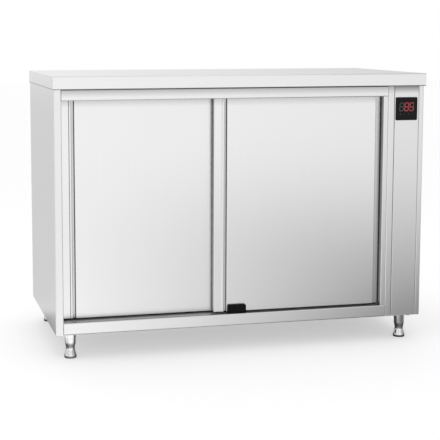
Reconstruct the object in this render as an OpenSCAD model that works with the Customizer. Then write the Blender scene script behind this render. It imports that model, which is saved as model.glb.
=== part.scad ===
// Heated plate cabinet with two top-hung sliding doors.
// Millimetres. Origin on the floor under the centre of the worktop, front towards -Y, up +Z.

/* [Overall] */
// Width over the worktop
width = 1200; // [1000:50:1600]
// Depth over the worktop
depth = 600; // [560:20:800]
// Height from the floor to the worktop
height = 870; // [800:10:950]

/* [Sheet metal] */
// Thickness of the stainless sheet
sheet = 1; // [0.8:0.1:1.5]
// Outer radius of an ordinary bend
bend_r = 2; // [1.8:0.1:3]
// Thickness of the wall insulation on the left and at the back
wall_fill = 22; // [15:1:30]

/* [Worktop] */
// Height of the worktop's folded edge
worktop_h = 40; // [30:1:60]
// Overhang of the worktop past the front frame
front_overhang = 12; // [5:1:20]
// Overhang of the worktop past each side
side_overhang = 2; // [1:0.5:6]
// Width of the lip turned in under the folded edge
worktop_lip = 14; // [10:1:20]

/* [Front frame] */
// Width of the left corner flange
left_flange = 24; // [20:1:40]
// Width of the right corner flange
right_flange = 16; // [12:1:30]
// Height of the rail over the doors
header_h = 33; // [30:1:50]
// Height of the rail under the doors
rail_h = 37; // [32:1:60]
// Width of the cover in front of the controls
cover_w = 84; // [80:1:140]
// Width of the post beside that cover
post_w = 22; // [18:1:40]
// Width of the strip that the right door closes against
jamb_w = 15; // [10:1:25]
// Width and height of the display
display_w = 74; // [60:1:78]
// Height of the display's middle under the worktop
display_drop = 73; // [60:1:200]

/* [Doors] */
// Thickness of a door
door_t = 18; // [16:1:24]
// Overlap of the two closed doors
door_overlap = 79; // [60:1:140]
// Gap between the front and the rear door
door_gap = 6; // [5:0.5:10]
// Front frame to the face of the front door
door_setback = 18; // [14:1:30]
// Gap between a door and what stands beside it
door_side_gap = 2; // [2:0.5:4]
// Gap under the doors
door_floor_gap = 5; // [4:1:16]
// Width of the flat band along a door's grip edge
grip_band_w = 26; // [20:1:40]
// Width of the raised bead beside the band
grip_bead_w = 7; // [6:1:12]
// Width of the finger groove
groove_w = 9; // [8:1:20]
// Depth of the finger groove
groove_d = 11; // [8:1:12]
// Width of the stepped strip on a door's other edge
step_w = 17; // [10:1:30]

/* [Track] */
// Diameter of a track wheel
wheel_d = 16; // [14:1:18]
// Width of a track wheel
wheel_w = 5; // [4:0.5:6]
// Diameter of a wheel axle
axle_d = 4; // [3:0.5:6]
// Thickness of a hanger plate
hanger_t = 3; // [2:0.5:4]
// Slot along the bottom of the track
track_slot = 8; // [7:0.5:9]

/* [Inside] */
// Height of the shelf over the cabinet's floor plate
shelf_rise = 332; // [200:10:450]
// Height of the shelf's folded edges
shelf_edge = 28; // [20:1:40]
// Diameter of the air wheel
fan_d = 150; // [100:5:180]
// Number of blades on the air wheel
fan_blades = 16; // [8:1:24]
// Gap between the air wheel and the middle of the heating tube
heater_gap = 23; // [16:1:30]
// Diameter of the heating ring's tube
heater_tube = 8; // [6:0.5:10]

/* [Legs] */
// Height of the cabinet's underside over the floor
leg_h = 81; // [75:1:150]
// Distance of a leg's axis from the cabinet's side
leg_in_x = 50; // [45:1:120]
// Distance of a leg's axis from the front frame and from the back
leg_in_y = 46; // [45:1:120]
// Diameter of the leg's collar
leg_d = 34; // [30:1:50]
// Diameter of the foot at the floor
foot_d = 38; // [34:1:60]
// Diameter of the foot's threaded stem
stem_d = 20; // [12:1:24]
// Travel of the foot on its thread
foot_travel = 25; // [10:1:25]

/* [Hidden] */
steel = [0.80, 0.81, 0.82];
bright_steel = [0.88, 0.89, 0.90];
dark_steel = [0.55, 0.56, 0.58];
wool = [0.85, 0.80, 0.62];
$fn = 48;

screw_d = 3;
screw_head_d = 7;
screw_head_h = 1.6;
back_flange = 15;           // corner flanges that the rear wall is screwed to
cover_return = 14;
post_depth = 26;
rail_return = 14;           // top flange of the rail under the doors
jamb_back = 2;              // jamb strip behind the post's face
glass_t = 2.5;
frame_bend = bend_r + 0.5;
door_bend = 1.8;
bumper_t = 1.5;
seam = 0.3;                 // gap between neighbouring sheets that do not touch
running = 0.05;             // radial clearance of a turning or sliding pin
bend_steps = 3;             // flats in a bend

// Outside of the body under the worktop
body_l = -width / 2 + side_overhang;
body_r = width / 2 - side_overhang;
body_f = -depth / 2 + front_overhang;
body_b = depth / 2 - side_overhang;
body_z0 = leg_h;
body_z1 = height - worktop_h;

// Door opening
open_l = body_l + left_flange;
cover_r = body_r - right_flange;
cover_l = cover_r - cover_w;
post_l = cover_l - post_w;
open_r = post_l - jamb_w;
open_z0 = body_z0 + rail_h;
open_z1 = body_z1 - header_h;

// Doors
door_w = (open_r - open_l - 2 * door_side_gap + door_overlap) / 2;
door_travel = open_r - open_l - 2 * door_side_gap - door_w;
door_z0 = open_z0 + door_floor_gap;
door_z1 = open_z1 + 3;
left_door_x = open_l + door_side_gap;
right_door_x = open_r - door_side_gap - door_w;
right_door_y = body_f + door_setback;
left_door_y = right_door_y + door_t + door_gap;

// Track
track_w = door_t + door_gap - 2;
track_wall = 1.5;
track_z0 = door_z1 + 3;
track_z1 = body_z1 - sheet;
track_back = left_door_y + door_t + 4;
wheel_z = track_z0 + track_wall + wheel_d / 2 + running;
wheel_y = hanger_t / 2 + 0.7;
hanger_in = 60;

// Heated room
liner_front = body_f + door_setback + 1;
liner_b = body_b - sheet - wall_fill - sheet;
room_f = track_back + sheet;
shelf_z = open_z0 + shelf_rise;
shelf_front = room_f + 10;
shelf_ledge = 14;

// Fan and heater on the right-hand wall
fan_y = 40;
fan_z = open_z0 + 165;
heater_d = fan_d + 2 * heater_gap;
heater_x = open_r - 20;
heater_open = 20;           // degrees left open between the ring's ends
ferrule_d = heater_tube + 2;
baffle_w = heater_d + 54;
baffle_h = heater_d + 34;
baffle_d = 46;
fan_back = 10;              // air wheel's disc in front of the wall
blade_w = 24;
shaft_d = 8;
partition_fill = 12;
motor_x = open_r + sheet;
motor_l = 58;
motor_bore = 38;
probe_d = 6;
probe_y = 200;
probe_z = open_z1 - 20;

// Controls behind the cover
display_x = (cover_l + cover_r) / 2 - 2;
display_z = body_z1 - display_drop;
gland_at = [(cover_l + cover_r) / 2, body_b - 150];
gland_thread = 16;

// Guide for the doors' lower edges
guide_w = 60;
guide_x = left_door_x + door_w - 34;
guide_h = 27;

// Legs
leg_x = [body_l + leg_in_x, body_r - leg_in_x];
leg_y = [body_f + leg_in_y, body_b - leg_in_y];
collar_h = 20;
plate_w = 60;
plate_t = 3;
sleeve_d = stem_d + 8;
sleeve_top = open_z0 - 5;
leg_screw_at = 22;
leg_screw_d = 5;
foot_top = body_z0 - collar_h - seam;

// Sheet bending: an outline of the outer face becomes a folded sheet of even thickness
function unit(v) = v / norm(v);
function left_of(v) = [-v[1], v[0]];
function turned(v, a) = [v[0] * cos(a) - v[1] * sin(a), v[0] * sin(a) + v[1] * cos(a)];
function reversed(p) = [for (i = [len(p) - 1:-1:0]) p[i]];
function rounded_corner(p, q, s, r) =
    let (a = unit(p - q), b = unit(s - q), half = acos(a * b) / 2,
        centre = q + unit(a + b) * r / sin(half),
        start = q + a * r / tan(half) - centre,
        sweep = (180 - 2 * half) * sign(cross(start, q + b * r / tan(half) - centre)))
    [for (i = [0:bend_steps]) centre + turned(start, sweep * i / bend_steps)];
function bent(path, r) = [path[0],
    for (i = [1:len(path) - 2]) each rounded_corner(path[i - 1], path[i], path[i + 1], r),
    path[len(path) - 1]];
function beside(p, d) = [for (i = [0:len(p) - 1])
    let (before = unit(p[max(i, 1)] - p[max(i, 1) - 1]),
        after = unit(p[min(i, len(p) - 2) + 1] - p[min(i, len(p) - 2)]),
        n = unit(left_of(before) + left_of(after)))
    p[i] + n * d / (n * left_of(before))];

// The sheet lies on the left of the path, seen in its direction
module folded(path, r = bend_r)
    polygon(concat(bent(path, r), reversed(beside(bent(path, r), sheet))));

// A profile drawn in the XY plane, standing from z0 to z1
module standing(z0, z1) translate([0, 0, z0]) linear_extrude(z1 - z0) children();

// A profile drawn as [y, z], running from x0 to x1
module running_x(x0, x1)
    translate([x0, 0, 0]) rotate([90, 0, 90]) linear_extrude(x1 - x0) children();

// A profile drawn as [x, z], running from y0 to y1
module running_y(y0, y1)
    translate([0, y1, 0]) rotate([90, 0, 0]) linear_extrude(y1 - y0) children();

module block(low, high) translate(low) cube(high - low);

module slot_2d(length, w) {
    square([length - w, w], center = true);
    for (side = [-1, 1]) translate([side * (length - w) / 2, 0]) circle(d = w);
}

module rounded_plate_2d(size, r) {
    square([size[0] - 2 * r, size[1]], center = true);
    square([size[0], size[1] - 2 * r], center = true);
    for (x = [-1, 1], y = [-1, 1])
        translate([x * (size[0] / 2 - r), y * (size[1] / 2 - r)]) circle(r);
}

module at_legs() for (x = leg_x, y = leg_y) translate([x, y, 0]) children();

module worktop() color(steel) {
    section = [[-depth / 2 + worktop_lip, body_z1], [-depth / 2, body_z1], [-depth / 2, height],
        [depth / 2, height], [depth / 2, body_z1], [depth / 2 - worktop_lip, body_z1]];
    edge_r = bend_r + 0.5;
    running_x(-width / 2 + sheet, width / 2 - sheet) folded(reversed(section), edge_r);
    for (x = [-width / 2, width / 2 - sheet])
        running_x(x, x + sheet) polygon(bent([for (i = [0:5]) section[i]], edge_r));
    for (x = [-width / 2 + sheet, width / 2 - worktop_lip])
        block([x, -depth / 2 + worktop_lip, body_z1],
            [x + worktop_lip - sheet, depth / 2 - worktop_lip, body_z1 + sheet]);
}

// Two hat channels glued under the top plate
module worktop_stiffeners() color(dark_steel) {
    top = height - sheet;
    low = top - 24;
    hat = 30;
    brim = 18;
    for (y = [-depth / 5, depth / 5])
        running_x(-width / 2 + 50, width / 2 - 50)
            folded([[y + hat + brim, top], [y + hat, top], [y + hat, low],
                [y - hat, low], [y - hat, top], [y - hat - brim, top]]);
}

// The left side, with its front flange and the return that the liner meets
module side_panel_left() color(steel)
    difference() {
        standing(body_z0, body_z1)
            folded([[body_l + back_flange, body_b], [body_l, body_b], [body_l, body_f],
                [open_l, body_f], [open_l, liner_front]], frame_bend);
        back_screw_holes();
    }

module side_panel_right() color(steel)
    difference() {
        standing(body_z0, body_z1)
            folded([[cover_r, body_f + cover_return], [cover_r, body_f], [body_r, body_f],
                [body_r, body_b], [body_r - back_flange, body_b]], frame_bend);
        back_screw_holes();
    }

// Rear wall, with louvres behind the controls
module back_panel() color(steel)
    difference() {
        block([body_l + frame_bend + seam, body_b - 2 * sheet, body_z0],
            [body_r - frame_bend - seam, body_b - sheet, body_z1 - sheet]);
        for (i = [0:7])
            running_y(body_b - 3 * sheet, body_b)
                translate([gland_at[0], body_z1 - 110 - 14 * i]) slot_2d(60, 5);
        back_screw_holes();
    }

module back_screw_places()
    for (x = [body_l + 8, body_r - 8], i = [0:4])
        translate([x, 0, body_z0 + 60 + i * (body_z1 - body_z0 - 120) / 4]) children();

module back_screw_holes()
    back_screw_places() running_y(body_b - 5, body_b + 1) circle(d = screw_d);

// Ten pan-head screws through the corner flanges into the rear wall
module back_screws() color(bright_steel)
    back_screw_places() {
        running_y(body_b, body_b + screw_head_h) circle(d = screw_head_d);
        running_y(body_b - 8, body_b) circle(d = screw_d - 0.4);
    }

// Closing sheet that the front members and the legs are fixed to
module base_pan() color(steel)
    difference() {
        union() {
            block([body_l + sheet + seam, liner_front + seam, body_z0],
                [body_r - sheet - seam, body_b - 2 * sheet - seam, body_z0 + sheet]);
            block([open_l + seam, body_f, body_z0],
                [cover_r - seam, liner_front + 1, body_z0 + sheet]);
            for (x = [body_l + sheet + seam, body_r - 2 * sheet - seam])
                block([x, body_f + 60, body_z0], [x + sheet, body_b - 60, body_z0 + 25]);
        }
        at_legs() standing(body_z0 - 1, body_z0 + 2) circle(d = sleeve_d + 2 * seam);
        at_legs() leg_screw_places()
            standing(body_z0 - 1, body_z0 + 2) circle(d = leg_screw_d + 2 * seam);
        translate(gland_at) standing(body_z0 - 1, body_z0 + 2) circle(d = gland_thread);
    }

module floor_plate() color(bright_steel)
    running_x(open_l, open_r)
        folded([[liner_b, open_z0 - 25], [liner_b, open_z0 - sheet],
            [body_f + sheet, open_z0 - sheet], [body_f + sheet, open_z0 - 12]]);

// Folded rail under the doors; its top flange lies over the floor plate
module bottom_rail() color(steel)
    running_x(open_l + seam, post_l - seam)
        folded([[body_f + rail_return, open_z0], [body_f, open_z0],
            [body_f, body_z0 + sheet], [body_f + 10, body_z0 + sheet]], frame_bend);

// Folded rail over the doors, whose top flange carries the track
module header_rail() color(steel)
    running_x(open_l + seam, post_l - seam)
        folded([[room_f, body_z1], [body_f, body_z1],
            [body_f, open_z1], [body_f + 12, open_z1]], frame_bend);

module front_post() color(steel)
    standing(body_z0 + sheet, body_z1)
        folded([[post_l, body_f + post_depth], [post_l, body_f],
            [cover_l, body_f], [cover_l, body_f + post_depth]], 3);

// Strip that the right door closes against, set back from the post
module jamb_strip() color(bright_steel)
    standing(open_z0, open_z1)
        folded([[open_r, body_f + post_depth], [open_r, body_f + jamb_back],
            [post_l - seam, body_f + jamb_back]], 3);

module control_cover() color(steel)
    difference() {
        standing(body_z0 + sheet, body_z1 - seam)
            folded([[cover_l + seam, body_f + 12], [cover_l + seam, body_f],
                [cover_r - seam, body_f], [cover_r - seam, body_f + 12]]);
        running_y(body_f - 1, body_f + 2 * sheet)
            translate([display_x, display_z]) square(display_w - 8, center = true);
    }

module display_glass() color([0.02, 0.02, 0.02])
    running_y(body_f - glass_t, body_f)
        translate([display_x, display_z]) rounded_plate_2d([display_w, display_w], 4);

module controller_housing() color([0.12, 0.12, 0.13])
    running_y(body_f, body_f + 48)
        translate([display_x, display_z]) square(display_w - 9, center = true);

module liner_left() color(bright_steel)
    block([open_l - sheet, liner_front, open_z0 - 25], [open_l, liner_b, body_z1 - sheet]);

module liner_back() color(bright_steel)
    block([open_l - sheet, liner_b, open_z0 - 25], [open_r, liner_b + sheet, body_z1 - sheet]);

// Ceiling of the room, turned up behind the doors to meet the header
module liner_top() color(bright_steel)
    running_x(open_l, open_r)
        folded([[track_back, body_z1 - sheet], [track_back, open_z1], [liner_b, open_z1]]);

// Both ends of the heating ring, seen along +X
module at_heater_ends(x)
    translate([x, fan_y, fan_z]) rotate([0, 90, 0])
        for (side = [-1, 1])
            rotate(side * heater_open / 2) translate([heater_d / 2, 0, 0]) children();

// Wall between the heated room and the controls
module partition() color(bright_steel)
    difference() {
        block([open_r, body_f + post_depth, body_z0 + sheet],
            [open_r + sheet, body_b - 2 * sheet, body_z1 - sheet]);
        along_x(open_r - 1, fan_y, fan_z) cylinder(d = shaft_d + 4, h = sheet + 2);
        along_x(open_r - 1, probe_y, probe_z) cylinder(d = probe_d, h = sheet + 2);
        at_heater_ends(open_r - 1) cylinder(d = ferrule_d, h = sheet + 2);
    }

module along_x(x, y, z) translate([x, y, z]) rotate([0, 90, 0]) children();

module insulation_left() color(wool)
    block([body_l + sheet, liner_front, open_z0], [open_l - sheet, liner_b + sheet, body_z1 - sheet]);

module insulation_back() color(wool)
    block([open_l - sheet, liner_b + sheet, open_z0], [open_r, body_b - 2 * sheet, body_z1 - sheet]);

module insulation_top() color(wool)
    block([open_l, track_back + bend_r, open_z1 + sheet], [open_r, liner_b, body_z1 - sheet]);

module insulation_floor() color(wool)
    difference() {
        block([open_l + 1, body_f + 16, body_z0 + sheet + 4],
            [open_r - 1, liner_b - bend_r - seam, open_z0 - 2 * sheet]);
        at_legs() standing(body_z0, open_z0) circle(d = sleeve_d + 2);
    }

module insulation_partition() color(wool)
    difference() {
        block([open_r + sheet, body_f + post_depth, open_z0],
            [open_r + sheet + partition_fill, body_b - 2 * sheet, body_z1 - sheet]);
        along_x(open_r, fan_y, fan_z) cylinder(d = 68, h = 40);
        along_x(open_r, probe_y, probe_z) cylinder(d = probe_d + 2, h = 40);
        at_heater_ends(open_r) cylinder(d = ferrule_d + 2, h = 40);
    }

// Loose shelf, slotted so that the warm air rises through it
module shelf() color(bright_steel) {
    rows = 5;
    columns = 8;
    back = liner_b - 3;
    pitch_x = (open_r - open_l - 60) / columns;
    pitch_y = (back - shelf_front - 40) / rows;
    difference() {
        running_x(open_l + 1, open_r - 1)
            folded([[back, shelf_z - shelf_edge], [back, shelf_z], [shelf_front, shelf_z],
                [shelf_front, shelf_z - shelf_edge], [shelf_front + 12, shelf_z - shelf_edge]]);
        standing(shelf_z - 2 * sheet, shelf_z + sheet)
            for (i = [0:columns - 1], j = [0:rows - 1])
                translate([open_l + 30 + (i + 0.5) * pitch_x, shelf_front + 20 + (j + 0.5) * pitch_y])
                    slot_2d(60, 8);
    }
}

// Angle rails that the shelf lies on
module shelf_rail_left() color(bright_steel)
    running_y(shelf_front + 2, liner_b - 10)
        folded([[open_l + shelf_ledge, shelf_z - sheet], [open_l, shelf_z - sheet],
            [open_l, shelf_z - sheet - 25]]);
module shelf_rail_right() color(bright_steel)
    running_y(shelf_front + 2, liner_b - 10)
        folded([[open_r, shelf_z - sheet - 25], [open_r, shelf_z - sheet],
            [open_r - shelf_ledge, shelf_z - sheet]]);

// Double C track: the wheels run on the lips beside each slot
module door_track() color([0.75, 0.76, 0.78])
    running_x(open_l + seam, open_r - seam)
        difference() {
            translate([track_mid(right_door_y) - track_w / 2, track_z0])
                square([door_t + door_gap + track_w, track_z1 - track_z0]);
            for (y = [track_mid(right_door_y), track_mid(left_door_y)]) {
                translate([y - track_w / 2 + track_wall, track_z0 + track_wall])
                    square([track_w - 2 * track_wall, track_z1 - track_z0 - 2 * track_wall]);
                translate([y - track_slot / 2, track_z0 - 1]) square([track_slot, track_wall + 2]);
            }
        }
function track_mid(door_y) = door_y + door_t / 2;

// Moulded block on the rail that keeps both hanging doors in line
module door_guide() color([0.03, 0.03, 0.03]) {
    front = right_door_y - 6;
    wall = 3.5;
    mid = left_door_y - door_gap + 1;
    back = left_door_y + door_t + 1.5;
    corner = 6;
    block([guide_x, front, open_z0], [guide_x + guide_w, back + wall, open_z0 + 3]);
    block([guide_x, body_f + rail_return, open_z0 - sheet], [guide_x + guide_w, back + wall, open_z0 + 1]);
    running_y(front, front + wall) {
        translate([guide_x, open_z0]) square([guide_w, guide_h - corner]);
        translate([guide_x + corner, open_z0]) square([guide_w - 2 * corner, guide_h]);
        for (x = [guide_x + corner, guide_x + guide_w - corner])
            translate([x, open_z0 + guide_h - corner]) circle(corner);
    }
    block([guide_x, mid, open_z0], [guide_x + guide_w, left_door_y - 1, open_z0 + 22]);
    block([guide_x, back, open_z0], [guide_x + guide_w, back + wall, open_z0 + 22]);
}

// Box over the air wheel: pierced inlet in its face, slots for the outlet in its sides
module air_baffle() color(bright_steel)
    difference() {
        block([open_r - baffle_d, fan_y - baffle_w / 2, fan_z - baffle_h / 2],
            [open_r, fan_y + baffle_w / 2, fan_z + baffle_h / 2]);
        block([open_r - baffle_d + sheet, fan_y - baffle_w / 2 + sheet, fan_z - baffle_h / 2 + sheet],
            [open_r + 1, fan_y + baffle_w / 2 - sheet, fan_z + baffle_h / 2 - sheet]);
        along_x(open_r - baffle_d - 1, fan_y, fan_z) {
            cylinder(d = 9, h = 3);
            for (ring = [1:3], k = [0:6 * ring - 1])
                rotate(k * 60 / ring) translate([ring * 14, 0, 0]) cylinder(d = 9, h = 3);
        }
        for (i = [-3:3]) running_y(fan_y - baffle_w, fan_y + baffle_w)
            translate([open_r - 23, fan_z + i * 24]) slot_2d(28, 6);
    }

module fan_motor() color(dark_steel)
    along_x(motor_x, fan_y, fan_z) difference() {
        union() {
            cylinder(d = 64, h = 3);
            cylinder(d = 56, h = motor_l);
            cylinder(d = 24, h = motor_l + 8);
        }
        translate([0, 0, -1]) cylinder(d = shaft_d + 2 * running, h = motor_bore + 1);
    }

module fan_shaft() color(bright_steel)
    along_x(open_r - fan_back - blade_w + 3, fan_y, fan_z)
        cylinder(d = shaft_d, h = fan_back + blade_w - 3 + sheet + motor_bore - 2);

// Air wheel: a disc with straight blades on the side of the inlet
module fan_impeller() color([0.70, 0.72, 0.74])
    along_x(open_r - fan_back, fan_y, fan_z) rotate([180, 0, 0]) difference() {
        union() {
            cylinder(d = fan_d, h = 1.5);
            cylinder(d = 22, h = blade_w - 4);
            for (k = [0:fan_blades - 1])
                rotate(k * 360 / fan_blades) translate([fan_d / 2 - 14, 0, 0]) rotate(24)
                    translate([-11, -0.6, 1]) cube([22, 1.2, blade_w - 1]);
        }
        translate([0, 0, -1]) cylinder(d = shaft_d, h = blade_w + 2);
    }

// Tube bent round the air wheel, with a ferrule through the wall at both ends
module heating_ring() color([0.35, 0.33, 0.32]) {
    along_x(heater_x, fan_y, fan_z)
        rotate(heater_open / 2) rotate_extrude(angle = 360 - heater_open)
            translate([heater_d / 2, 0]) circle(d = heater_tube, $fn = 24);
    at_heater_ends(heater_x - 5) cylinder(d = ferrule_d, h = open_r + 20 - heater_x + 5);
}

module temperature_probe() color(bright_steel) {
    along_x(open_r - 40, probe_y, probe_z) cylinder(d = probe_d, h = 65);
    along_x(open_r - 3, probe_y, probe_z) cylinder(d = 14, h = 3);
}

// Terminals for the supply, on the inside of the rear wall
module terminal_block() color([0.9, 0.9, 0.86])
    difference() {
        block([gland_at[0] - 30, body_b - 2 * sheet - 20, body_z0 + 29],
            [gland_at[0] + 30, body_b - 2 * sheet, body_z0 + 54]);
        for (i = [-2:2])
            running_y(body_b - 40, body_b - 2 * sheet - 12)
                translate([gland_at[0] + i * 11, body_z0 + 41]) circle(d = 5);
    }

// Cable gland under the compartment of the controls, with its lock nut inside
module cable_gland() color([0.05, 0.05, 0.05])
    translate(gland_at) difference() {
        union() {
            standing(body_z0 - 8, body_z0) circle(d = 24, $fn = 6);
            standing(body_z0 - 20, body_z0 - 8) circle(d = 19);
            standing(body_z0 - 1, body_z0 + 12) circle(d = gland_thread - 2 * seam);
            standing(body_z0 + sheet, body_z0 + 6) circle(d = 24, $fn = 6);
        }
        standing(body_z0 - 21, body_z0 + 13) circle(d = 9);
    }

// Screwed plate, collar and threaded sleeve of each leg
module leg_sockets() color(bright_steel)
    at_legs() difference() {
        union() {
            standing(body_z0 - plate_t, body_z0) rounded_plate_2d([plate_w, plate_w], 6);
            standing(body_z0 - collar_h, body_z0 - plate_t + 1) circle(d = leg_d);
            standing(body_z0 - 1, sleeve_top) circle(d = sleeve_d);
        }
        standing(body_z0 - collar_h - 1, sleeve_top - 4) circle(d = stem_d + 2 * running);
        leg_screw_places() standing(body_z0 - plate_t - 1, body_z0 + 1) circle(d = leg_screw_d + 2 * seam);
    }

module leg_screw_places()
    for (x = [-leg_screw_at, leg_screw_at], y = [-leg_screw_at, leg_screw_at])
        translate([x, y, 0]) children();

module leg_screws() color(bright_steel)
    at_legs() leg_screw_places() {
        standing(body_z0 - plate_t - 4, body_z0 - plate_t) circle(d = 10, $fn = 6);
        standing(body_z0 - plate_t - 1, body_z0 + 3) circle(d = leg_screw_d);
    }

// Turned foot: a flared pad, a waist and a neck under the collar, on a threaded stem
module foot(x, y) color(bright_steel) {
    neck_r = leg_d / 2 - 0.5;
    waist_r = foot_d / 2 - 5.5;
    waist_z = foot_top / 2;
    neck_z = foot_top * 0.8;
    steps = 8;
    ease = [for (i = [0:steps]) (1 - cos(180 * i / steps)) / 2];
    translate([x, y, 0]) rotate_extrude() polygon(concat(
        [[0, 0], [foot_d / 2 - 1, 0], [foot_d / 2, 1]],
        [for (i = [0:steps]) [foot_d / 2 + (waist_r - foot_d / 2) * ease[i], 4 + (waist_z - 4) * i / steps]],
        [for (i = [1:steps]) [waist_r + (neck_r - waist_r) * ease[i], waist_z + (neck_z - waist_z) * i / steps]],
        [[neck_r, foot_top], [stem_d / 2, foot_top], [stem_d / 2, sleeve_top - 8], [0, sleeve_top - 8]]));
}
module foot_front_left() foot(leg_x[0], leg_y[0]);
module foot_front_right() foot(leg_x[1], leg_y[0]);
module foot_rear_left() foot(leg_x[0], leg_y[1]);
module foot_rear_right() foot(leg_x[1], leg_y[1]);

// Plan of a door's outer sheet: band, bead and finger groove on the left, step on the right
bead_end = grip_band_w + grip_bead_w;
groove_end = bead_end + groove_w;
door_plan = [[0, door_t - sheet], [0, 2], [grip_band_w - 1, 2], [grip_band_w + 1, 0],
    [bead_end, 0], [bead_end, groove_d], [groove_end, groove_d], [groove_end, 1],
    [door_w - step_w, 1], [door_w - step_w, 6], [door_w, 6], [door_w, door_t - sheet]];

module door_skin(at) color(steel)
    translate(at) standing(door_z0 + sheet, door_z1 - sheet) folded(door_plan, door_bend);

module door_back(at) color(bright_steel)
    translate(at) block([0, door_t - sheet, door_z0], [door_w, door_t, door_z1]);

module door_core(at) color(wool)
    translate(at) standing(door_z0 + sheet, door_z1 - sheet)
        polygon(beside(bent(door_plan, door_bend), sheet));

module door_caps(at) color(bright_steel)
    translate(at) for (z = [door_z0, door_z1 - sheet])
        standing(z, z + sheet) polygon(bent(door_plan, door_bend));

// Two hangers screwed to the top cap, each with a bore for its axle
module door_hangers(at) color(dark_steel)
    translate(at) for (x = [hanger_in, door_w - hanger_in]) translate([x, door_t / 2, 0]) {
        difference() {
            block([-22, -7, door_z1], [22, 7, door_z1 + 2]);
            for (side = [-17, 17])
                translate([side, 0, 0]) standing(door_z1 - 1, door_z1 + 3) circle(d = 4);
        }
        difference() {
            union() {
                block([-12, -hanger_t / 2, door_z1 + 1], [12, hanger_t / 2, wheel_z]);
                running_y(-hanger_t / 2, hanger_t / 2) translate([0, wheel_z]) circle(r = axle_d / 2 + 3);
            }
            running_y(-hanger_t, hanger_t) translate([0, wheel_z]) circle(d = axle_d + 2 * running);
        }
    }

// Rubber stops on the side edge that closes against the frame
module door_bumpers(at, x) color([0.08, 0.08, 0.08])
    translate(at) for (z = [door_z0 + 60, door_z1 - 60])
        along_x(x, 12, z) cylinder(d = 8, h = bumper_t);

// Two wheels on one axle, running on the lips of the track
module wheels(at, x) color([0.2, 0.2, 0.22])
    translate([at[0] + x, at[1] + door_t / 2, wheel_z]) rotate([90, 0, 0]) {
        cylinder(d = axle_d, h = 2 * (wheel_y + wheel_w), center = true);
        for (side = [0, 180]) rotate([side, 0, 0]) translate([0, 0, wheel_y])
            rotate_extrude() polygon([[0, 0], [wheel_d / 2 - 0.5, 0], [wheel_d / 2, 0.5],
                [wheel_d / 2, wheel_w - 0.5], [wheel_d / 2 - 0.5, wheel_w], [0, wheel_w]]);
    }

left_at = [left_door_x, left_door_y, 0];
right_at = [right_door_x, right_door_y, 0];
module left_door_skin() door_skin(left_at);
module left_door_back() door_back(left_at);
module left_door_core() door_core(left_at);
module left_door_caps() door_caps(left_at);
module left_door_hangers() door_hangers(left_at);
module left_door_bumpers() door_bumpers(left_at, -bumper_t);
module left_wheels_a() wheels(left_at, hanger_in);
module left_wheels_b() wheels(left_at, door_w - hanger_in);
module right_door_skin() door_skin(right_at);
module right_door_back() door_back(right_at);
module right_door_core() door_core(right_at);
module right_door_caps() door_caps(right_at);
module right_door_hangers() door_hangers(right_at);
module right_door_bumpers() door_bumpers(right_at, door_w);
module right_wheels_a() wheels(right_at, hanger_in);
module right_wheels_b() wheels(right_at, door_w - hanger_in);

worktop();
worktop_stiffeners();
side_panel_left();
side_panel_right();
back_panel();
back_screws();
base_pan();
floor_plate();
bottom_rail();
header_rail();
front_post();
jamb_strip();
control_cover();
display_glass();
controller_housing();
liner_left();
liner_back();
liner_top();
partition();
insulation_left();
insulation_back();
insulation_top();
insulation_floor();
insulation_partition();
shelf();
shelf_rail_left();
shelf_rail_right();
door_track();
door_guide();
air_baffle();
fan_motor();
fan_shaft();
fan_impeller();
heating_ring();
temperature_probe();
terminal_block();
cable_gland();
leg_sockets();
leg_screws();
foot_front_left();
foot_front_right();
foot_rear_left();
foot_rear_right();
left_door_skin();
left_door_back();
left_door_core();
left_door_caps();
left_door_hangers();
left_door_bumpers();
left_wheels_a();
left_wheels_b();
right_door_skin();
right_door_back();
right_door_core();
right_door_caps();
right_door_hangers();
right_door_bumpers();
right_wheels_a();
right_wheels_b();
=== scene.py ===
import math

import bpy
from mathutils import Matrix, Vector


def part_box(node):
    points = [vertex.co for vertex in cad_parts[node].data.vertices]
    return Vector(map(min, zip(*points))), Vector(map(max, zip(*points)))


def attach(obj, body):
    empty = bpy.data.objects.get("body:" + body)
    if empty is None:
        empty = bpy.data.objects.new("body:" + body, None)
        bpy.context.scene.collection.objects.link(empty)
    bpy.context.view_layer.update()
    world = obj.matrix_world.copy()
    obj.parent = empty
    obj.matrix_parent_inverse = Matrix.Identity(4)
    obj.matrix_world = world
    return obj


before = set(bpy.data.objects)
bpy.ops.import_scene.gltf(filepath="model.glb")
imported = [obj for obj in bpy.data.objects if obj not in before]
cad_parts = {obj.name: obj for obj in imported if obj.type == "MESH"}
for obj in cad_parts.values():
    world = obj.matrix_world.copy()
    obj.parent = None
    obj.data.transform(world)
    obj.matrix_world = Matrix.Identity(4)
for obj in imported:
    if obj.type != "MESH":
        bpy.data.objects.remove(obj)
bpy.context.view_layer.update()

# %% [markdown]
# # A heated plate cabinet in stainless steel
# A plate cabinet keeps stacks of plates warm near a kitchen's serving counter. Nearly all of it is folded
# stainless sheet: a worktop, a frame, and two sliding doors in front of a warm room.
# The construction model is already loaded above. Every sheet, door, wheel and foot stands in its place, in
# metres, with the front towards -Y, and its shape is final, so nothing is modelled twice. This script gives
# each part the finish of the real one, adds the digits that are too fine for sheet-metal drawings, and sets
# up the studio.

# %% [markdown]
# ## Starting a finish
# A finish in Blender is a small network of nodes that ends in one main shader, with a socket for each
# property of a surface. A value that is the same all over, such as how metallic a sheet is, is set on the
# socket itself, so that it survives an export. Only what changes over the surface is drawn by nodes.
# The helper takes plain words for the sockets, which keeps the finishes below easy to read.

# %% A new finish
SOCKETS = {"colour": "Base Color", "metal": "Metallic", "rough": "Roughness", "coat": "Coat Weight",
           "ior": "IOR", "glow": "Emission Strength", "glow_colour": "Emission Color"}


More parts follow.
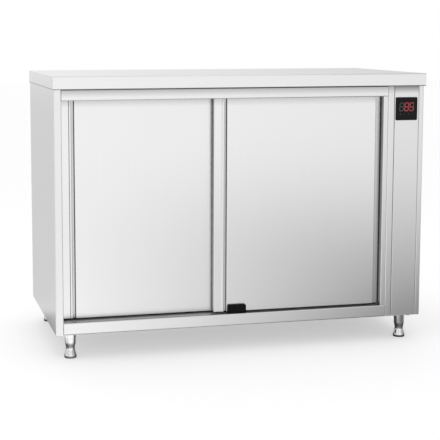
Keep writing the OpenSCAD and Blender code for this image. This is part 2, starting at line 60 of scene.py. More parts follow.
def open_finish(finish):
    """The node tree of a finish and its main shader."""
    return finish.node_tree, finish.node_tree.nodes["Principled BSDF"]


def start_finish(name, **values):
    """A new material; returns it, its node tree and its main shader."""
    finish = bpy.data.materials.new(name)
    finish.use_nodes = True
    tree, shader = open_finish(finish)
    for word, value in values.items():
        if "colour" in word:
            value = (*value, 1.0)
        if word == "colour":
            finish.diffuse_color = value
        shader.inputs[SOCKETS[word]].default_value = value
    return finish, tree, shader


print("words for the shader's sockets:", ", ".join(SOCKETS))

# %% [markdown]
# ## Nodes, wires and sums
# Every network needs the same moves: add a node, wire something into it, and read its result. One helper
# does them all, which is shorter than spelling each wire out. On top of it come the sums that shading needs:
# plain arithmetic, and a ramp, which turns a stretch of one value into a stretch of another and stays level
# beyond both ends.

# %% Helpers for nodes
def add_node(tree, kind, inputs=None, **settings):
    """A node with its settings; an input is a constant or another node's output."""
    node = tree.nodes.new(kind)
    for key, value in settings.items():
        setattr(node, key, value)
    for key, value in (inputs or {}).items():
        if isinstance(value, bpy.types.NodeSocket):
            tree.links.new(value, node.inputs[key])
        else:
            node.inputs[key].default_value = value
    return node


def combine(tree, operation, first, second=0.0):
    """Arithmetic with one or two inputs, each a number or another node's output."""
    return add_node(tree, "ShaderNodeMath", {0: first, 1: second}, operation=operation).outputs[0]


def product(tree, *factors):
    """All the factors multiplied together."""
    result = factors[0]
    for factor in factors[1:]:
        result = combine(tree, "MULTIPLY", result, factor)
    return result


def ramp(tree, value, start, end, low, high):
    """Goes evenly from low to high while the value goes from start to end, and stays there."""
    return add_node(tree, "ShaderNodeMapRange", {
        "Value": value, "From Min": start, "From Max": end, "To Min": low, "To Max": high}).outputs["Result"]


def spread(tree, texture, low, high):
    """A texture's middle range, from 0.3 to 0.7, spread over low to high."""
    return ramp(tree, texture, 0.3, 0.7, low, high)


print("helpers:", ", ".join(helper.__name__ for helper in (add_node, combine, product, ramp, spread)))

# %% [markdown]
# ## Knowing the place on a part
# Grain, wear and shade belong to places on a part, so a finish starts from the point's own coordinates on it.
# They are in metres and travel with the part, so the grain stays on a door that slides. Where they are
# multiplied along an axis, a texture is squeezed along it. A round blot of noise that is squeezed far more
# along two axes than along the third becomes a long thin line.

# %% Places and noise
def coordinate(tree, axis, kind="Object"):
    """The point's coordinate along an axis, in metres; with kind Normal, how far it faces that way."""
    place = add_node(tree, "ShaderNodeTexCoord").outputs[kind]
    return add_node(tree, "ShaderNodeSeparateXYZ", {"Vector": place}).outputs[axis]


def stretched_place(tree, stretch):
    """The point on its part, multiplied along each axis."""
    place = add_node(tree, "ShaderNodeTexCoord").outputs["Object"]
    return add_node(tree, "ShaderNodeMapping", {"Vector": place, "Scale": stretch}).outputs["Vector"]


def noise(tree, blots, detail=2.0, stretch=(1, 1, 1)):
    """Cloudy noise with this many blots to the metre, before it is stretched."""
    return add_node(tree, "ShaderNodeTexNoise", {
        "Vector": stretched_place(tree, stretch), "Scale": blots, "Detail": detail}).outputs["Fac"]


print("helpers:", ", ".join(helper.__name__ for helper in (coordinate, stretched_place, noise)))

# %% [markdown]
# ## Uneven colour and relief
# No real surface has one flat colour. A texture chooses between a darker and a lighter shade of it, and the
# same texture can raise the surface a little, so that light catches on it. The relief only bends the light:
# the shape of the part stays as it was constructed.

# %% Colour, relief, and giving a finish to parts
def grey(shade):
    """A neutral colour."""
    return (shade, shade, shade)


def scaled(colour, factor):
    """A colour made darker or lighter."""
    return tuple(channel * factor for channel in colour)


def tint(tree, shader, amount, dark, light):
    """Lets a value between 0 and 1 choose between two colours for the surface."""
    mix = add_node(tree, "ShaderNodeMix", {"Factor": amount}, data_type="RGBA")
    mix.inputs["A"].default_value = (*dark, 1.0)
    mix.inputs["B"].default_value = (*light, 1.0)
    tree.links.new(mix.outputs["Result"], shader.inputs["Base Color"])


def relief(tree, shader, height, strength, depth):
    """Raises the surface by a height, which the depth turns into metres."""
    bump = add_node(tree, "ShaderNodeBump", {"Height": height, "Strength": strength, "Distance": depth})
    tree.links.new(bump.outputs["Normal"], shader.inputs["Normal"])


def cover_nodes(finish, *names):
    """Gives the finish to these parts of the construction model."""
    for name in names:
        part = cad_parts[name]
        part.data.materials.clear()
        part.data.materials.append(finish)
    print(f"{finish.name}: {len(names)} part(s)")


print("parts that need a finish:", len(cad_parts))

# %% [markdown]
# ## Satin stainless steel
# Catering steel is ground with a belt, which leaves very fine parallel lines. A picture of such lines could
# be laid on each sheet, but it would have to be fitted to every fold. A noise that is squeezed hard across
# the grain and little along it gives the lines on every part, whatever its size. From a few metres away they
# only blur the mirror image, so they drive the roughness, a faint change of grey and a tiny relief. A second,
# broad noise is the slight unevenness that a wide thin sheet always shows.

# %% The recipe for ground steel
ALONG_X = (4.0, 700.0, 700.0)
ALONG_Z = (700.0, 700.0, 4.0)


def ground_steel(name, colour, rough, grain, wander, metal=0.9):
    """Belt-ground sheet; its roughness wanders by this much to both sides."""
    finish, tree, shader = start_finish(name, colour=colour, metal=metal, rough=rough)
    lines = noise(tree, 1.0, 3.0, grain)
    patches = noise(tree, 2.2)
    both = product(tree, combine(tree, "ADD", lines, patches), 0.5)
    tree.links.new(spread(tree, both, rough - wander, rough + wander), shader.inputs["Roughness"])
    tint(tree, shader, spread(tree, lines, 0.0, 1.0), scaled(colour, 0.985), scaled(colour, 1.01))
    relief(tree, shader, lines, 0.006, 0.0001)
    return finish


print("grain: squeezed by", max(ALONG_X), "across it and by", min(ALONG_X), "along it")

# %% [markdown]
# ## Painted shade and light on the steel
# The grey of a sheet is painted darker where shade falls, as painted shade: on the narrow folded edges, in
# the bottom of a finger groove, and as a painted shadow on the strip under an overhang. On one fold it is
# painted lighter instead, as a painted highlight. A picture for each sheet would do it, but a comparison is
# simpler: a measure of the place, such as its height or its depth, is held against where the sheet is still
# clear and where the painted shading is full.

# %% Shaded places on a sheet
STRIP_START, STRIP_FULL = 0.024, 0.003
FACES_FRONT, FACES_SIDEWAYS = 0.8, 0.35


def paint_shading_where(finish, measure, clear, full, shade):
    """Painted shade or highlight: turns a sheet towards a grey as the measure goes from clear to full."""
    tree, shader = open_finish(finish)
    colour = shader.inputs["Base Color"]
    amount = ramp(tree, measure, clear, full, 0.0, 1.0)
    mix = add_node(tree, "ShaderNodeMix", {"Factor": amount}, data_type="RGBA")
    tree.links.new(colour.links[0].from_socket, mix.inputs["A"])
    mix.inputs["B"].default_value = (*grey(shade), 1.0)
    tree.links.new(mix.outputs["Result"], colour)


def paint_shadow_under(finish, overhang, shade):
    """Painted shadow on the strip just below an overhang at this height."""
    height = coordinate(finish.node_tree, "Z")
    paint_shading_where(finish, height, overhang - STRIP_START, overhang - STRIP_FULL, shade)


def paint_edge_shading(finish, shade):
    """Painted shading on the folded edges, which face sideways, upwards or downwards."""
    tree = finish.node_tree
    frontal = combine(tree, "ABSOLUTE", coordinate(tree, "Y", "Normal"))
    paint_shading_where(finish, frontal, FACES_FRONT, FACES_SIDEWAYS, shade)


print("shaded strip under an overhang:", STRIP_START * 1000, "mm")

# %% [markdown]
# ## The worktop and the rails
# The worktop is one sheet with an apron folded down all round and a narrow hem turned in below it. Along the
# hem's bend a dark line is painted, as painted shade. The rails above and below the doors are ground
# lengthways too. The apron's shadow is painted on the upper one, and painted shade lies on their folded
# edges.

# %% Worktop and rails
apron_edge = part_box("worktop")[0].z
HEM_BEND, HEM_FACE = 0.0015, 0.0030

worktop_steel = ground_steel("worktop_steel", grey(0.78), 0.30, ALONG_X, 0.02)
worktop_height = coordinate(worktop_steel.node_tree, "Z")
# Painted shade: a dark line along the bend of the hem.
paint_shading_where(worktop_steel, worktop_height, apron_edge + HEM_FACE, apron_edge + HEM_BEND, 0.22)
cover_nodes(worktop_steel, "worktop")

frame_steel = ground_steel("frame_steel", grey(0.76), 0.28, ALONG_X, 0.01)
# Painted shadow of the apron on the rails' top strip, and painted shade on their folded edges.
paint_shadow_under(frame_steel, apron_edge, 0.46)
paint_edge_shading(frame_steel, 0.30)
cover_nodes(frame_steel, "header_rail", "bottom_rail")
print("lower edge of the apron", round(apron_edge, 4))

# %% [markdown]
# ## Panels and posts
# The large panels are ground upwards. The narrow uprights beside the doors and the cover of the controls are
# the same steel, but each has its own painted shadow under the apron and its own painted shading on its
# folds.
# The cover's painted shadow is the darkest, and the fold of the post is painted lighter, as a painted
# highlight. Three finishes that differ only in two numbers are made by a loop.

# %% Side panels, back and uprights
upright_steel = ground_steel("upright_steel", grey(0.74), 0.30, ALONG_Z, 0.01)
cover_nodes(upright_steel, "side_panel_left", "side_panel_right", "back_panel")

# The two numbers are the grey of the painted shadow under the apron and of the painted shading on the folds.
NARROW_UPRIGHTS = {"jamb_strip": ("jamb_steel", 0.42, 0.40),
                   "control_cover": ("cover_steel", 0.26, 0.40),
                   "front_post": ("post_steel", 0.42, 0.90)}
# Painted shadow under the apron, then painted shade on the folds; on the post a painted highlight.
for part_name, (finish_name, painted_shadow_grey, painted_edge_grey) in NARROW_UPRIGHTS.items():
    narrow_steel = ground_steel(finish_name, grey(0.74), 0.30, ALONG_Z, 0.01)
    paint_shadow_under(narrow_steel, apron_edge, painted_shadow_grey)
    paint_edge_shading(narrow_steel, painted_edge_grey)
    cover_nodes(narrow_steel, part_name)

# %% [markdown]
# ## The sliding doors
# A door has no handle. Near one edge its sheet is folded back into a groove for the fingertips, and along the
# other edge it steps back. Whatever lies deeper than the start of the groove is painted a darker grey, as
# painted shade in the recesses. A painted shadow lies on the strip under the rail, and painted shade on the
# folded edges. The doors run one behind the other, so their fronts lie at different depths, and each door
# gets its own finish. The faces are finer ground than the frame and wander less.

# %% Doors
GROOVE_START, GROOVE_FADE = 0.0035, 0.001
header_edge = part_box("header_rail")[0].z
for side in ("left", "right"):
    door_steel = ground_steel(f"{side}_door_steel", grey(0.76), 0.26, ALONG_Z, 0.005)
    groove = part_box(f"{side}_door_skin")[0].y + GROOVE_START
    depth = coordinate(door_steel.node_tree, "Y")
    # Painted shade in the groove and the step, painted shadow under the rail, painted shade on the folds.
    paint_shading_where(door_steel, depth, groove, groove + GROOVE_FADE, 0.56)
    paint_shadow_under(door_steel, header_edge, 0.58)
    paint_edge_shading(door_steel, 0.24)
    cover_nodes(door_steel, f"{side}_door_skin", f"{side}_door_caps", f"{side}_door_back")
    print(side, "door's groove starts at y =", round(groove, 4))

# %% [markdown]
# ## The warm room
# Nobody grinds the inside of the room as finely as the front, and hot air and plates dull it further. So it
# is the same steel, rougher, darker and less metallic, which also lets light from the open doors spread over
# it as on the real one.

# %% Room, shelf and pan
room_steel = ground_steel("room_steel", (0.70, 0.70, 0.71), 0.40, ALONG_X, 0.04, metal=0.7)
cover_nodes(room_steel, "base_pan", "floor_plate", "liner_left", "liner_back", "liner_top", "partition",
            "shelf", "shelf_rail_left", "shelf_rail_right", "air_baffle")

# %% [markdown]
# ## Polished feet
# The feet are turned and polished, so they mirror the studio sharply: dark edges and a bright middle. A
# faint cloudy noise in the roughness keeps the polish from being perfect.

# %% Polished steel
def polished_steel(name):
    """Turned and polished steel."""
    finish, tree, shader = start_finish(name, colour=(0.74, 0.74, 0.75), metal=1.0, rough=0.1)
    cloud = noise(tree, 60.0, 3.0, (1, 1, 0.3))
    tree.links.new(spread(tree, cloud, 0.07, 0.16), shader.inputs["Roughness"])
    return finish


cover_nodes(polished_steel("socket_steel"), "leg_sockets")

# %% [markdown]
# ## Threaded stems
# The upper part of each foot is a threaded stem, which shows when the foot is wound out. A real thread would
# be many thousands of small faces. A triangle wave along the height gives its ridges as relief instead, and a
# comparison of heights keeps it off the turned part below. The wave is in metres already, so the depth of the
# relief is only the share of it that is used.

# %% Feet with a thread
THREAD_PITCH = 0.005
THREAD_SHARE = 0.7
CLEARANCE = 0.0002
FEET = ("foot_front_left", "foot_front_right", "foot_rear_left", "foot_rear_right")

foot_steel = polished_steel("foot_steel")
foot_tree, foot_shader = open_finish(foot_steel)
foot_height = coordinate(foot_tree, "Z")
stem_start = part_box("leg_sockets")[0].z - CLEARANCE
wave = combine(foot_tree, "PINGPONG", foot_height, THREAD_PITCH / 2)
on_stem = combine(foot_tree, "GREATER_THAN", foot_height, stem_start)
relief(foot_tree, foot_shader, product(foot_tree, wave, on_stem), 1.0, THREAD_SHARE)
cover_nodes(foot_steel, *FEET)
print("thread starts at z =", round(stem_start, 4))

# %% [markdown]
# ## Zinc plate
# Hidden brackets and the fan's wheel are zinc plated. Zinc sets in patches of crystals, each with its own
# grey and gloss. A Voronoi texture draws just such patches: every cell has one random colour, and its red
# part is the shade.

# %% Zinc
def zinc(name):
    """Zinc plate with its patches of crystals."""
    finish, tree, shader = start_finish(name, colour=(0.55, 0.57, 0.59), metal=1.0, rough=0.42)
    crystals = add_node(tree, "ShaderNodeTexVoronoi", {
        "Vector": stretched_place(tree, (1, 1, 1)), "Scale": 160.0}).outputs["Color"]
    shade = add_node(tree, "ShaderNodeSeparateColor", {"Color": crystals}).outputs[0]
    tint(tree, shader, shade, (0.47, 0.49, 0.51), (0.62, 0.64, 0.66))
    tree.links.new(spread(tree, shade, 0.34, 0.5), shader.inputs["Roughness"])
    return finish


cover_nodes(zinc("zinc_plate"), "worktop_stiffeners", "left_door_hangers", "right_door_hangers",
            "fan_impeller")

# %% [markdown]
# ## Drawn aluminium
# The doors hang from a track that is drawn through a die, so its marks run along its whole length. It is the
# steel's recipe again, drawn out further and with a deeper relief.

# %% The door track
def drawn_aluminium(name):
    """Aluminium with die marks along X."""
    finish, tree, shader = start_finish(name, colour=(0.78, 0.78, 0.79), metal=1.0, rough=0.33)
    marks = noise(tree, 1.0, 2.0, (1.5, 900, 900))
    tree.links.new(spread(tree, marks, 0.26, 0.4), shader.inputs["Roughness"])
    relief(tree, shader, marks, 0.1, 0.0001)
    return finish


cover_nodes(drawn_aluminium("drawn_aluminium"), "door_track")

# %% [markdown]
# ## Screws, shaft, probe and heater
# Small turned parts are bright, with fine wear from tools that only changes their gloss. The heating ring has
# the same wear, but heat has turned its steel dark brown.

# %% Bright and heated metal
def worn_metal(name, colour, rough):
    """Metal with fine wear in its gloss."""
    finish, tree, shader = start_finish(name, colour=colour, metal=1.0, rough=rough)
    wear = noise(tree, 220.0, 4.0)
    tree.links.new(spread(tree, wear, rough * 0.7, rough * 1.4), shader.inputs["Roughness"])
    return finish


cover_nodes(worn_metal("bright_fixings", (0.74, 0.74, 0.75), 0.22), "back_screws", "leg_screws",
            "fan_shaft", "temperature_probe")
cover_nodes(worn_metal("heated_tube", (0.20, 0.17, 0.15), 0.45), "heating_ring")

# %% [markdown]
# ## Plastic, rubber, paint and wool
# Moulded plastic keeps a very fine leather-like texture from its mould, and rubber is duller. The motor is
# painted, with the slight orange peel of a sprayed coat under a clear one. Mineral wool is a tangle of
# fibres. They differ in colour, in the size of the grit and in its depth, so one recipe serves them all: a
# fine noise in two shades, which also drives the roughness and the relief. Black nylon gets a low IOR, which
# weakens its mirror image, because it would look grey in a white studio.

# %% Non-metals
def moulded(name, colour, rough, grit, depth, coat=0.0, ior=1.45):
    """A grainy non-metal with this many grains to the metre."""
    finish, tree, shader = start_finish(name, colour=colour, rough=rough, coat=coat, ior=ior)
    speck = noise(tree, grit, 4.0)
    tree.links.new(spread(tree, speck, rough * 0.85, min(rough * 1.15, 1.0)), shader.inputs["Roughness"])
    tint(tree, shader, spread(tree, speck, 0.0, 1.0), scaled(colour, 0.8), scaled(colour, 1.15))
    relief(tree, shader, speck, 0.4, depth)
    return finish


black_nylon = moulded("black_nylon", (0.010, 0.010, 0.011), 0.6, 900, 0.0001, ior=1.14)
stop_rubber = moulded("stop_rubber", (0.02, 0.02, 0.02), 0.75, 600, 0.0002)
motor_paint = moulded("motor_paint", (0.05, 0.05, 0.055), 0.35, 400, 0.0001, coat=0.3)
terminal_plastic = moulded("terminal_plastic", (0.62, 0.60, 0.52), 0.5, 700, 0.0001)
mineral_wool = moulded("mineral_wool", (0.50, 0.42, 0.24), 0.95, 260, 0.003)
print("non-metals:", ", ".join(finish.name for finish in (
    black_nylon, stop_rubber, motor_paint, terminal_plastic, mineral_wool)))

# %% [markdown]
# ## Where the non-metals are used
# Nylon runs quietly and needs no oil, so the doors' guide and wheels are made of it, and so are the cable
# gland and the controller's case. Rubber stops take the knock of a door, and wool fills the walls and the
# doors around the room. Parts of one material share one finish, so a change of it reaches them all.

# %% Parts of plastic, rubber and wool
cover_nodes(black_nylon, "door_guide", "cable_gland", "controller_housing",
            "left_wheels_a", "left_wheels_b", "right_wheels_a", "right_wheels_b")
cover_nodes(stop_rubber, "left_door_bumpers", "right_door_bumpers")
cover_nodes(motor_paint, "fan_motor")
cover_nodes(terminal_plastic, "terminal_block")
cover_nodes(mineral_wool, "insulation_left", "insulation_back", "insulation_top", "insulation_floor",
            "insulation_partition", "left_door_core", "right_door_core")

# %% [markdown]
# ## The glass of the display
# The control panel is a square of black glass. It is the construction part with a nearly smooth finish, in
# which a faint smear keeps the mirror image from being perfect. Its low IOR stands for a coating against
# glare: with that of plain glass it would mirror the white studio and look grey.

# %% Black glass
def black_glass(name):
    """Dark, smooth glass with a smear of fingers."""
    finish, tree, shader = start_finish(name, colour=(0.012, 0.012, 0.013), rough=0.08, ior=1.16)
    smear = noise(tree, 45.0, 3.0)
    tree.links.new(spread(tree, smear, 0.05, 0.12), shader.inputs["Roughness"])
    return finish


cover_nodes(black_glass("display_glass"), "display_glass")
PLATE = 0.0003
glass_low, glass_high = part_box("display_glass")
glass_mid = (glass_low + glass_high) / 2
ink_front = glass_low.y - PLATE
print("display centre", [round(c, 4) for c in glass_mid])

# %% [markdown]
# ## Digits of seven bars
# A lit number is made of seven bars to a digit, and the bars that are off can still be made out as a faint
# grey. A text object would be quicker, but the font that comes with Blender has no pointed bars with gaps
# between them. So each bar is a flat six-sided shape, drawn around the line between its two ends and leaning
# with the digit.

# %% Where the bars lie
DIGIT_HEIGHT, DIGIT_WIDTH = 0.0250, 0.0125
BAR_WIDTH, BAR_GAP = 0.0031, 0.0003
DIGIT_PITCH = 0.0172
SLANT = 0.10
TOP, MIDDLE, BOTTOM = DIGIT_HEIGHT / 2, 0, -DIGIT_HEIGHT / 2
LEFT, RIGHT = -DIGIT_WIDTH / 2, DIGIT_WIDTH / 2
BARS = {"a": ((LEFT, TOP), (RIGHT, TOP)), "d": ((LEFT, BOTTOM), (RIGHT, BOTTOM)),
        "g": ((LEFT, MIDDLE), (RIGHT, MIDDLE)), "f": ((LEFT, MIDDLE), (LEFT, TOP)),
        "b": ((RIGHT, MIDDLE), (RIGHT, TOP)), "e": ((LEFT, BOTTOM), (LEFT, MIDDLE)),
        "c": ((RIGHT, BOTTOM), (RIGHT, MIDDLE))}
LIT = {" ": "", "5": "acdfg", "8": "abcdefg"}


def bar_outline(start, end, middle_x, middle_z):
    """Six corners of one bar, pointed at both ends, leaning with the digit."""
    a, b = Vector(start), Vector(end)
    along = (b - a).normalized()
    across = Vector((-along.y, along.x)) * BAR_WIDTH / 2
    tip = along * BAR_GAP
    shoulder = along * (BAR_GAP + BAR_WIDTH / 2)
    corners = [a + tip, a + shoulder - across, b - shoulder - across,
               b - tip, b - shoulder + across, a + shoulder + across]
    return [(middle_x + c.x + c.y * SLANT, ink_front, middle_z + c.y) for c in corners]


print("bars of a digit:", len(BARS))

# %% [markdown]
# ## Plates of ink
# The digits and marks lie behind the glass, but a shape inside black glass would be lost in it. So they are
# plates of 0.3 mm on its front. Each outline becomes a closed plate with a front, a back and sides, and a
# piece with several plates rides on the cabinet as one.

# %% Flat pieces from outlines
def flat_piece(name, outlines, finish):
    """Thin plates from outlines that face the front, riding on the cabinet."""
    points, faces = [], []
    for outline in outlines:
        first, count = len(points), len(outline)
        points += outline + [(x, y + PLATE, z) for x, y, z in outline]
        faces.append(list(range(first, first + count)))
        faces.append([first + count + i for i in reversed(range(count))])
        for i in range(count):
            j = (i + 1) % count
            faces.append([first + j, first + i, first + count + i, first + count + j])
    mesh = bpy.data.meshes.new(name)
    mesh.from_pydata(points, [], faces)
    mesh.materials.append(finish)
    piece = bpy.data.objects.new(name, mesh)
    bpy.context.scene.collection.objects.link(piece)
    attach(piece, "cabinet")
    print(f"{name}: {len(outlines)} plate(s)")


print("ink stands out by", PLATE * 1000, "mm")

# %% [markdown]
# ## Lit and unlit ink
# Light behind smoked glass is never quite even, so a small noise varies the colour. The lit bars also glow in
# their own colour, weakly enough to stay red: a strong glow would wash them out.

# %% Inks
def ink(name, colour, glow):
    """Slightly uneven ink that glows in its own colour."""
    finish, tree, shader = start_finish(name, colour=colour, rough=0.3, glow_colour=colour, glow=glow)
    cloud = noise(tree, 300.0)
    tint(tree, shader, spread(tree, cloud, 0.0, 1.0), scaled(colour, 0.85), colour)
    return finish


lit_ink = ink("lit_red", (0.30, 0.02, 0.03), 0.55)
unlit_ink = ink("unlit_grey", (0.045, 0.045, 0.05), 0.0)
mark_ink = ink("icon_red", (0.05, 0.015, 0.015), 0.1)
print("inks:", lit_ink.name, unlit_ink.name, mark_ink.name)

# %% [markdown]
# ## The number shown
# The display has three places for digits and shows a plain number. Each character chooses the bars that are
# lit, and a blank lights none. All lit bars become one piece and all unlit ones another, because bars with
# the same ink never need to be told apart.

# %% The number
SHOWN_NUMBER = " 85"
DIGITS_UP = 0.006
digits_z = glass_mid.z + DIGITS_UP
lit_bars, unlit_bars = [], []
for place, character in enumerate(SHOWN_NUMBER):
    digit_x = glass_mid.x + (place - 1) * DIGIT_PITCH
    for letter, (start, end) in BARS.items():
        bars = lit_bars if letter in LIT[character] else unlit_bars
        bars.append(bar_outline(start, end, digit_x, digits_z))
flat_piece("display_digits_lit", lit_bars, lit_ink)
flat_piece("display_digits_unlit", unlit_bars, unlit_ink)

# %% [markdown]
# ## Touch marks
# Below the number, four marks show where to touch the glass: a round one, a minus, a plus and a pointed one.
# They are far smaller than a digit, so plain outlines are enough. The plus is three small bars, so that no
# plate lies on another.

# %% Marks under the number
MARKS_DOWN = 0.0175
MARK_PITCH = 0.014
MARK_RADIUS = 0.0024
STROKE = 0.0011
STROKE_LENGTH = 0.005
STUB, STUB_AWAY = 0.0020, 0.0016


def round_outline(x, z, sides):
    """A regular outline; with three sides it is a triangle."""
    turns = [2 * math.pi * i / sides for i in range(sides)]
    return [(x + MARK_RADIUS * math.cos(turn), ink_front, z - MARK_RADIUS * math.sin(turn))
            for turn in turns]


def bar_corners(x, z, width, height):
    """A plain bar."""
    left, right = x - width / 2, x + width / 2
    low, high = z - height / 2, z + height / 2
    return [(left, ink_front, high), (left, ink_front, low),
            (right, ink_front, low), (right, ink_front, high)]


marks_z = glass_mid.z - MARKS_DOWN
round_x, minus_x, plus_x, pointed_x = (glass_mid.x + step * MARK_PITCH for step in (-1.5, -0.5, 0.5, 1.5))
marks = [round_outline(round_x, marks_z, 20),
         bar_corners(minus_x, marks_z, STROKE_LENGTH, STROKE),
         bar_corners(plus_x, marks_z, STROKE_LENGTH, STROKE),
         bar_corners(plus_x, marks_z + STUB_AWAY, STROKE, STUB),
         bar_corners(plus_x, marks_z - STUB_AWAY, STROKE, STUB),
         round_outline(pointed_x, marks_z, 3)]
flat_piece("display_touch_marks", marks, mark_ink)

# %% [markdown]
# ## The studio's walls
# Polished steel has hardly a look of its own: it shows the room. Its pictures are taken in a white room with
# large pale walls. The world is that room. A ray from the camera sees plain white, and steel sees walls that
# are brightest straight in front of the cabinet and fade to the right, to the far left, overhead and behind.
# The fades help to give the steel its soft change from light to grey, and they keep the worktop apart from
# the white background. Each ramp says between which directions its wall fades and from which brightness to
# which, and all of them are multiplied.

# %% World
WHITE = (1, 1, 1, 1)
world = bpy.data.worlds.new("white_room")
bpy.context.scene.world = world
world.use_nodes = True
room = world.node_tree
room.nodes.clear()
towards = add_node(room, "ShaderNodeSeparateXYZ", {
    "Vector": add_node(room, "ShaderNodeTexCoord").outputs["Generated"]}).outputs

far_left = ramp(room, towards["X"], -0.6, 0.05, 0.70, 1.0)
right_wall = ramp(room, towards["X"], 0.1, 0.5, 1.32, 0.88)
far_right = ramp(room, towards["X"], 0.5, 0.95, 1.0, 0.55)
overhead = ramp(room, towards["Z"], 0.10, 0.75, 1.0, 0.57)
behind = ramp(room, towards["Y"], -0.6, 0.6, 1.0, 0.90)
brightness = product(room, far_left, right_wall, far_right, overhead, behind)

walls = add_node(room, "ShaderNodeBackground", {"Color": WHITE, "Strength": brightness}).outputs[0]
plain_white = add_node(room, "ShaderNodeBackground", {"Color": WHITE, "Strength": 1.0}).outputs[0]
camera_ray = add_node(room, "ShaderNodeLightPath").outputs["Is Camera Ray"]
shown = add_node(room, "ShaderNodeMixShader", {0: camera_ray, 1: walls, 2: plain_white}).outputs[0]
add_node(room, "ShaderNodeOutputWorld", {"Surface": shown})
print("world", world.name)

# %% [markdown]
# ## The floor
# The floor is a very large pale sheet, so that its edge is never seen. It keeps the cabinet's shadow. For the
# camera it also glows a little, which lifts it to white away from the shadow without putting more light on
# the cabinet.

# %% Floor
FLOOR_SIZE = 40
FLOOR_LIFT = 0.45
JUST_BELOW = -0.0005
bpy.ops.mesh.primitive_plane_add(size=FLOOR_SIZE, location=(0, 0, JUST_BELOW))
floor = bpy.context.object
floor.name = "studio_floor"
floor_paint, floor_tree, floor_shader = start_finish(
    "floor_paint", colour=grey(0.82), rough=0.9, glow_colour=grey(1.0))
cloud = add_node(floor_tree, "ShaderNodeTexNoise", {"Scale": 3.0}).outputs["Fac"]
tint(floor_tree, floor_shader, spread(floor_tree, cloud, 0.0, 1.0), grey(0.81), grey(0.83))
rays = add_node(floor_tree, "ShaderNodeLightPath").outputs
lift = product(floor_tree, rays["Is Camera Ray"], FLOOR_LIFT)
floor_tree.links.new(lift, floor_shader.inputs["Emission Strength"])
floor.data.materials.append(floor_paint)
print("floor", floor.name, FLOOR_SIZE, "m")

# %% [markdown]
# ## What the steel mirrors of the floor
# The camera is higher than the cabinet, so the doors mirror mostly the floor in front of them. For glossy
# rays
# the floor glows, as a painted reflection: white far off, with painted shade that grows darker towards the
# cabinet, where its shadow would lie, and to the right. It gives the doors' lower right its grey. Beside and
# behind the cabinet this painted shade is weak, and a second patch of painted shade in front on the far left
# dims that end of the cabinet a little.
# Only glossy rays see this glow. It is fixed in the room, so every camera sees it from its place.

# %% The floor's brightness in front
FLOOR_WHITE, FLOOR_DARKEST = 1.34, 0.20
spot = {axis: coordinate(floor_tree, axis) for axis in "XY"}
# Painted shade on the floor's glow: near the cabinet, to the right and on the far left.
right = ramp(floor_tree, spot["X"], -0.5, 0.9, 0.0, 1.0)
near = ramp(floor_tree, spot["Y"], -5.0, -0.8, 0.0, 1.02)
at_the_rail = ramp(floor_tree, spot["Y"], -0.90, -0.60, 0.0, 0.34)
only_in_front = ramp(floor_tree, spot["Y"], -0.45, 0.1, 1.0, 0.28)
painted_shade_near_and_right = product(floor_tree, right, combine(floor_tree, "ADD", near, at_the_rail), only_in_front)
painted_shade_far_left = product(floor_tree, ramp(floor_tree, spot["X"], -1.1, -0.55, 0.38, 0.0),
                     ramp(floor_tree, spot["Y"], -0.8, -0.3, 1.0, 0.0))
painted_floor_shading = combine(floor_tree, "ADD", painted_shade_near_and_right, painted_shade_far_left)
in_front = combine(floor_tree, "MAXIMUM", FLOOR_DARKEST,
                   combine(floor_tree, "SUBTRACT", FLOOR_WHITE, painted_floor_shading))
print("mirrored floor: brightness from", FLOOR_DARKEST, "to", FLOOR_WHITE)
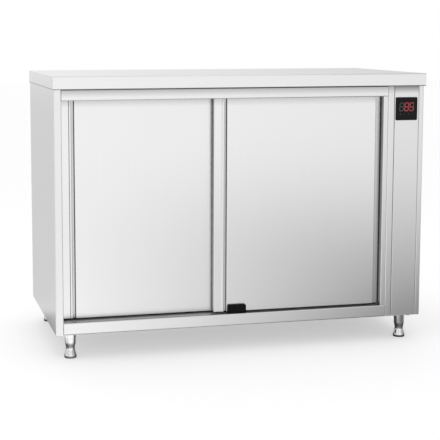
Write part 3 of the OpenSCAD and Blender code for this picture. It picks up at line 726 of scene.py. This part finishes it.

# %% [markdown]
# ## The dark below the cabinet
# Hardly any light gets below a real cabinet, and the feet stand at the edge of that dark and mirror it. Real
# shadows would do this by themselves, but glossy rays see the painted glow above and not the shadow. So a
# painted shadow dims the floor's glow where it is close to the middle, along X and along Y. The larger of the
# two results counts, which makes the dark patch a rectangle with soft edges. The glow of the floor behind is
# painted a little darker than the one in front, as painted shade.

# %% The floor's brightness behind and below
# Painted shadow below the cabinet and painted shade behind it, seen only in reflections.
UNDER_CABINET = 0.08
behind_cabinet = ramp(floor_tree, spot["Y"], -0.2, 0.6, 1.0, 0.60)
away_x = combine(floor_tree, "ABSOLUTE", spot["X"])
away_y = combine(floor_tree, "ABSOLUTE", spot["Y"])
beside = ramp(floor_tree, away_x, 0.62, 0.85, UNDER_CABINET, 1.0)
before = ramp(floor_tree, away_y, 0.26, 0.42, UNDER_CABINET, 1.0)
outside = combine(floor_tree, "MAXIMUM", beside, before)
mirrored = product(floor_tree, in_front, behind_cabinet, outside)
lit_floor = add_node(floor_tree, "ShaderNodeEmission", {"Strength": mirrored}).outputs[0]
seen_floor = add_node(floor_tree, "ShaderNodeMixShader", {
    0: rays["Is Glossy Ray"], 1: floor_shader.outputs[0], 2: lit_floor}).outputs[0]
floor_tree.links.new(seen_floor, floor_tree.nodes["Material Output"].inputs["Surface"])
print("mirrored floor below the cabinet:", UNDER_CABINET)

# %% [markdown]
# ## The lamps
# Most of the light comes from the walls. Two large soft lamps, one high on the left and one overhead, only
# give the shadow its direction. They are wide and weak, because a small strong lamp would show as a white
# spot in the steel.

# %% Lamps
def soft_lamp(name, place, aim, size, power):
    """A rectangular lamp at a place, turned towards its aim."""
    lamp = bpy.data.objects.new(name, bpy.data.lights.new(name, "AREA"))
    lamp.data.shape = "RECTANGLE"
    lamp.data.size, lamp.data.size_y = size
    lamp.data.energy = power
    lamp.location = place
    lamp.rotation_euler = (Vector(aim) - Vector(place)).to_track_quat("-Z", "Y").to_euler()
    bpy.context.scene.collection.objects.link(lamp)
    print(name, power, "W")


soft_lamp("key_lamp", (-2.2, -1.8, 2.2), (0, 0, 0.4), (2.8, 2.8), 7)
soft_lamp("top_lamp", (0.2, 0.3, 3.2), (0, 0, 0.8), (2.4, 1.6), 8)

# %% [markdown]
# ## The camera
# The picture was taken from the front, a little to the left and from above the worktop, with a long lens. Its
# upright and level edges are parallel, as a view camera with a strongly shifted lens makes them. Such a shift
# would push the cabinet out of every other view, so only a small one is used here. Turning and tilting the
# camera do the rest. The place, the angles and the focal length were fitted to the cabinet's corners.

# %% Camera
PICTURE_SIDE = 440
FOCAL_PIXELS = 1205.0
SENSOR = 36
LOOKS_DOWN, LOOKS_RIGHT = 6.59, 13.97

camera = bpy.data.objects.new("camera", bpy.data.cameras.new("camera"))
bpy.context.scene.collection.objects.link(camera)
camera.location = (-1.084, -3.865, 1.000)
camera.rotation_euler = (math.radians(90 - LOOKS_DOWN), 0, math.radians(-LOOKS_RIGHT))
camera.data.sensor_width = SENSOR
camera.data.lens = FOCAL_PIXELS / PICTURE_SIDE * SENSOR
camera.data.shift_x, camera.data.shift_y = 0.08, -0.11
camera.data.clip_end = 100
bpy.context.scene.camera = camera
bpy.context.scene.view_settings.view_transform = "Standard"
print("lens", round(camera.data.lens, 1), "mm")
